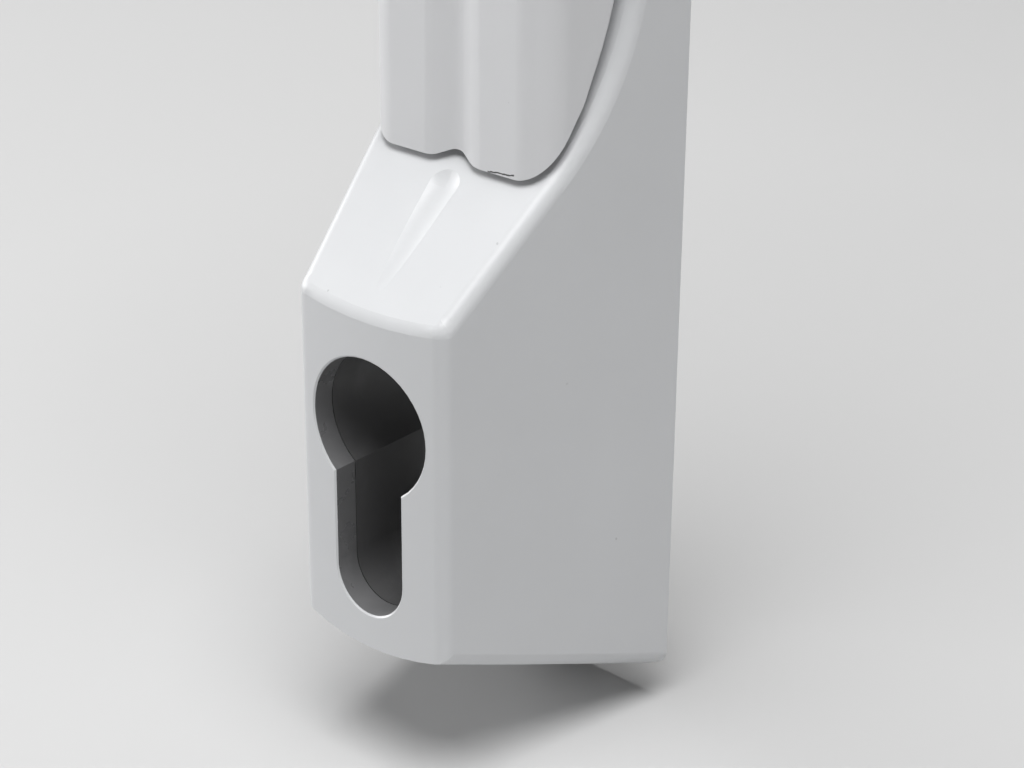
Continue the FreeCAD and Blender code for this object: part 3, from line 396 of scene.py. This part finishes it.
def turned(name, rings, centre, finish, body, nodes, closed=False):
    """A closed skin through rings about the Y axis, each a radius and a depth or their functions."""
    def at(size, step):
        return size(step) if callable(size) else size

    points = []
    for radius, depth in rings:
        for step in range(TURNS):
            angle = 2 * math.pi * step / TURNS
            points.append((centre[0] + at(radius, step) * math.cos(angle), at(depth, step),
                           centre[1] + at(radius, step) * math.sin(angle)))
    spans = len(rings) if closed else len(rings) - 1
    faces = []
    for ring in range(spans):
        near, far = ring * TURNS, ((ring + 1) % len(rings)) * TURNS
        faces += [(near + n, near + (n + 1) % TURNS, far + (n + 1) % TURNS, far + n)
                  for n in range(TURNS)]
    if not closed:
        faces += [tuple(reversed(range(TURNS))), tuple(range(spans * TURNS, len(rings) * TURNS))]
    mesh = bpy.data.meshes.new(name)
    mesh.from_pydata([tuple(MILLIMETRE * c for c in point) for point in points], [], faces)
    work = bmesh.new()
    work.from_mesh(mesh)
    bmesh.ops.recalc_face_normals(work, faces=work.faces)
    written(work, mesh)
    mesh.materials.append(finish)
    made = placed(name, mesh)
    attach(made, body)
    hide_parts(*nodes)


def in_millimetres(name):
    """The node's lowest and highest corners in millimetres."""
    return [[c / MILLIMETRE for c in corner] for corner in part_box(name)]


TIP_SHARE = 0.8


def threaded(core, shank, pitch, lead, tip, end):
    """Rings of a cut thread, from the chamfer at the tip to the last turn before end.

    The chamfer starts within the core and is as long as lead.
    """
    rings = [(core * TIP_SHARE, tip), (shank, tip + lead)]
    depth = tip + lead + pitch / 2
    while depth < end:
        rings += [(core, depth), (shank, depth + pitch / 2)]
        depth += pitch
    return rings


# Socket screws: radii, heights and edge breaks of shank, head, socket and the drilled point in it
SCREW_SHANK, SCREW_CORE, SCREW_PITCH, SCREW_LEAD = 1.5, 1.2, 0.7, 0.5
SCREW_HEAD, HEAD_HIGH, HEAD_ROUND, HEAD_BREAK, HEAD_STEPS = 2.8, 1.6, 0.35, 0.1, 4
SOCKET, SOCKET_DEPTH, SOCKET_BREAK = 1.4, 1, 0.12
DRILLED, DRILLED_DEPTH = 0.1, 0.2


def socket_screws(node_name, lower=False):
    """Low-head socket screws at the upper corners of a node's box, and one low in its middle."""
    low, high = in_millimetres(node_name)
    top = high[2] - SCREW_HEAD
    spots = [(low[0] + SCREW_HEAD, top), (high[0] - SCREW_HEAD, top)]
    if lower:
        spots.append((0, low[2] + SCREW_HEAD))
    back = high[1]
    seat = back - HEAD_HIGH
    rings = threaded(SCREW_CORE, SCREW_SHANK, SCREW_PITCH, SCREW_LEAD,
                     tip=low[1], end=seat - SCREW_PITCH)
    rings += [(SCREW_SHANK, seat), (SCREW_HEAD - HEAD_BREAK, seat), (SCREW_HEAD, seat + HEAD_BREAK)]
    rings += [(SCREW_HEAD - HEAD_ROUND * (1 - math.cos(turn)), back - HEAD_ROUND * (1 - math.sin(turn)))
              for turn in [math.pi / 2 * step / HEAD_STEPS for step in range(HEAD_STEPS + 1)]]
    rings += [(SOCKET + SOCKET_BREAK, back),
              (lambda step: hexagon(SOCKET, step), back - SOCKET_BREAK),
              (lambda step: hexagon(SOCKET, step), back - SOCKET_DEPTH),
              (DRILLED, back - SOCKET_DEPTH - DRILLED_DEPTH)]
    for number, spot in enumerate(spots):
        turned(f"{node_name}_{number}", rings, spot, ZINC, "housing_group", [node_name])


socket_screws("carrier_screws", lower=True)
socket_screws("cover_screws")

# The cam's hexagon screw: the head's corners are cut by a 30 degree cone
CAM_SHANK, CAM_CORE, CAM_PITCH, CAM_LEAD = 3, 2.5, 1, 0.8
CAM_HEAD_HIGH, CAM_FACE, CAM_CONE = 4, 4.7, math.radians(30)
cam_low, cam_high = in_millimetres("cam_screw")
spindle_at = (0, (cam_low[2] + cam_high[2]) / 2)
cam_seat = cam_high[1] - CAM_HEAD_HIGH


def cam_corner(step):
    """The radius of the hexagon head at one of the steps round it."""
    return hexagon(cam_high[0], step)


def cam_cone(step):
    """The depth of the cone that cuts the head's corners, at one of the steps round it."""
    return cam_high[1] - (cam_corner(step) - CAM_FACE) * math.tan(CAM_CONE)


cam_rings = threaded(CAM_CORE, CAM_SHANK, CAM_PITCH, CAM_LEAD,
                     tip=cam_low[1], end=cam_seat - 2 * CAM_PITCH)
cam_rings += [(CAM_SHANK, cam_seat), (cam_corner, cam_seat), (cam_corner, cam_cone),
              (CAM_FACE, cam_high[1])]
turned("cam_screw_hexagon", cam_rings, spindle_at, ZINC, "spindle_group", ["cam_screw"])

# The spindle's seal is a round cord
SEAL_STEPS = 16
seal_low, seal_high = in_millimetres("spindle_seal")
cord = (seal_high[1] - seal_low[1]) / 2
turned("spindle_seal_cord",
       [(seal_high[0] - cord + cord * math.cos(turn), seal_low[1] + cord + cord * math.sin(turn))
        for turn in [2 * math.pi * step / SEAL_STEPS for step in range(SEAL_STEPS)]],
       spindle_at, RUBBER, "spindle_group", ["spindle_seal"], closed=True)

# Floor and backdrop are one plain pale bowl, just under the lock and far from it, in metres
FLOOR_Z = CAD_BOX[0][2] - 0.5 * MILLIMETRE
FLOOR_REACH, FLOOR_TURN, WALL_TOP = 2.6, 0.9, 3.2
FLOOR_SIDES, FLOOR_STEPS = 96, 24
FLOOR_DARK, FLOOR_PALE = (0.53, 0.53, 0.53), (0.55, 0.55, 0.55)


def sweep():
    """A round floor that curves up into a wall on every side."""
    flat = FLOOR_REACH - FLOOR_TURN
    profile = [(flat, FLOOR_Z)]
    profile += [(flat + FLOOR_TURN * math.sin(a), FLOOR_Z + FLOOR_TURN - FLOOR_TURN * math.cos(a))
                for a in [math.pi / 2 * step / FLOOR_STEPS for step in range(1, FLOOR_STEPS + 1)]]
    profile.append((FLOOR_REACH, WALL_TOP))
    angles = [2 * math.pi * n / FLOOR_SIDES for n in range(FLOOR_SIDES)]
    points = [(0, 0, FLOOR_Z)]
    points += [(radius * math.cos(a), radius * math.sin(a), height)
               for radius, height in profile for a in angles]
    following = [(n + 1) % FLOOR_SIDES for n in range(FLOOR_SIDES)]
    faces = [(0, 1 + n, 1 + after) for n, after in enumerate(following)]
    for ring in range(len(profile) - 1):
        near, far = 1 + ring * FLOOR_SIDES, 1 + (ring + 1) * FLOOR_SIDES
        faces += [(near + n, far + n, far + after, near + after) for n, after in enumerate(following)]
    mesh = bpy.data.meshes.new("studio_floor")
    mesh.from_pydata(points, [], faces)
    for polygon in mesh.polygons:
        polygon.use_smooth = True
    coat, tree, shader = material("pale_floor")
    clouds = spread(tree, noise(tree, scale=3), 0, 1)
    tree.links.new(tinted(tree, clouds, FLOOR_DARK, FLOOR_PALE), shader.inputs["Base Color"])
    shader.inputs["Roughness"].default_value = 0.9
    mesh.materials.append(coat)
    made = placed("studio_floor", mesh)


sweep()


def lamp(name, place, aim, size, power):
    """A round lamp of this size in metres and power in watts, turned to what it lights."""
    light = bpy.data.lights.new(name, "AREA")
    light.shape = "DISK"
    light.size = size
    light.energy = power
    made = placed(name, light)
    made.location = place
    made.rotation_euler = (Vector(place) - Vector(aim)).to_track_quat("Z", "Y").to_euler()


LAMP_AIM = (0, -0.02, -0.06)
lamp("key_light", (0.24, -0.38, 1.58), LAMP_AIM, size=1.35, power=39.5)
lamp("left_light", (-1.05, -0.27, 0.16), LAMP_AIM, size=0.7, power=7.6)
lamp("right_light", (1.3, -0.5, 0.3), LAMP_AIM, size=0.8, power=0.9)
world = bpy.data.worlds.new("studio")
world.use_nodes = True
world.node_tree.nodes["Background"].inputs["Color"].default_value = (1, 1, 1, 1)
world.node_tree.nodes["Background"].inputs["Strength"].default_value = 0.07
bpy.context.scene.world = world

# Camera at the photograph's angle: close to the lower end, seen from the front right and above
AZIMUTH = math.radians(40.24)
ELEVATION = math.radians(24.79)
ROLL = math.radians(0.44)
AIM = Vector((0, -0.036, -0.090))
DISTANCE = 0.286
OFF_RIGHT = 0.01681
OFF_UP = 0.00522
FOCAL_PIXELS = 2500
IMAGE_WIDTH = 1024
SENSOR_WIDTH = 36
NEAR_LIMIT = 0.01
BACK = Vector((math.sin(AZIMUTH) * math.cos(ELEVATION), -math.cos(AZIMUTH) * math.cos(ELEVATION),
               math.sin(ELEVATION)))
LEVEL = Vector((math.cos(AZIMUTH), math.sin(AZIMUTH), 0))
RIGHT = Matrix.Rotation(ROLL, 3, BACK) @ LEVEL
UP = BACK.cross(RIGHT)
camera_data = bpy.data.cameras.new("camera")
camera_data.sensor_width = SENSOR_WIDTH
camera_data.lens = FOCAL_PIXELS * SENSOR_WIDTH / IMAGE_WIDTH
camera_data.clip_start = NEAR_LIMIT
camera = placed("camera", camera_data)
camera_frame = Matrix((RIGHT, UP, BACK)).transposed().to_4x4()
camera_frame.translation = AIM + DISTANCE * BACK + OFF_RIGHT * RIGHT + OFF_UP * UP
camera.matrix_world = camera_frame
bpy.context.scene.camera = camera
bpy.context.scene.view_settings.view_transform = "Standard"
